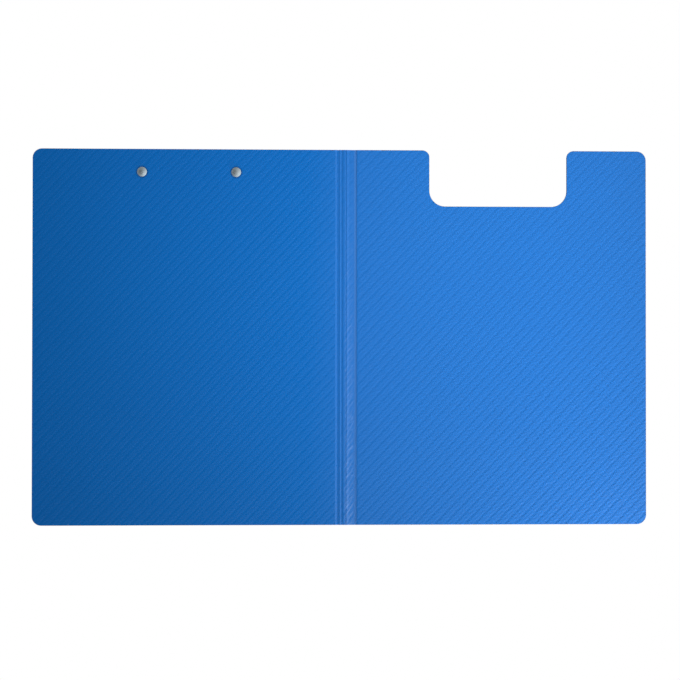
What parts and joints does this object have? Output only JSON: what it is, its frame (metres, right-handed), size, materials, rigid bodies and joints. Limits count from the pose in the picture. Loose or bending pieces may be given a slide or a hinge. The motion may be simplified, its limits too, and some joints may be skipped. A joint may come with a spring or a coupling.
{
  "type": "clipboard folder",
  "caption": "Open clipboard folder: a scored plastic sheet with a board, a spine and a notched cover, and a sprung metal clip riveted to the board.",
  "frame": {"origin": "centre of the open sheet, at the level of the rivet heads' lowest point", "axes": "+X from the spine towards the board's free edge, +Y towards the top edge, +Z out of the inner side"},
  "size_m": [0.524, 0.32, 0.0197],
  "materials": {
    "sheet_plastic": "embossed satin blue polypropylene",
    "rivet_metal": "bright nickel plate",
    "clip_metal": "bright nickel plate",
    "pin_metal": "plain steel, peened heads",
    "spring_steel": "drawn spring wire",
    "guard_plastic": "black moulded plastic",
    "tab_metal": "nickel-plated strip"
  },
  "bodies": {
    "clipboard": {"back_panel": "sheet_plastic", "back_score_web": "sheet_plastic", "clip_rivets": "rivet_metal", "clip_base": "clip_metal", "hinge_pin": "pin_metal", "left_spring": "spring_steel", "right_spring": "spring_steel"},
    "spine": {"spine_strip": "sheet_plastic"},
    "front_cover": {"front_panel": "sheet_plastic", "front_score_web": "sheet_plastic"},
    "lever": {"clip_lever": "clip_metal", "left_guard": "guard_plastic", "right_guard": "guard_plastic"},
    "tab": {"hang_tab": "tab_metal"}
  },
  "joints": [
    {"name": "spine_fold", "type": "hinge", "parent": "clipboard", "child": "spine", "pos_m": [0.0025, 0, 0.0022], "axis": [0, 1, 0], "range_deg": [-90, 90], "deforming": ["back_score_web"]},
    {"name": "cover_fold", "type": "hinge", "parent": "spine", "child": "front_cover", "pos_m": [-0.012, 0, 0.0022], "axis": [0, 1, 0], "range_deg": [-90, 90], "deforming": ["front_score_web"]},
    {"name": "clip_open", "type": "hinge", "parent": "clipboard", "child": "lever", "pos_m": [0.1295, 0.138, 0.0112], "axis": [-1, 0, 0], "range_deg": [0, 25], "stiffness_Nm_per_rad": 0.6, "springref_deg": -28.65, "deforming": ["left_spring", "right_spring"]},
    {"name": "hang_tab_slide", "type": "slide", "parent": "clipboard", "child": "tab", "axis": [0, 1, 0], "range_m": [0, 0.014]}
  ]
}
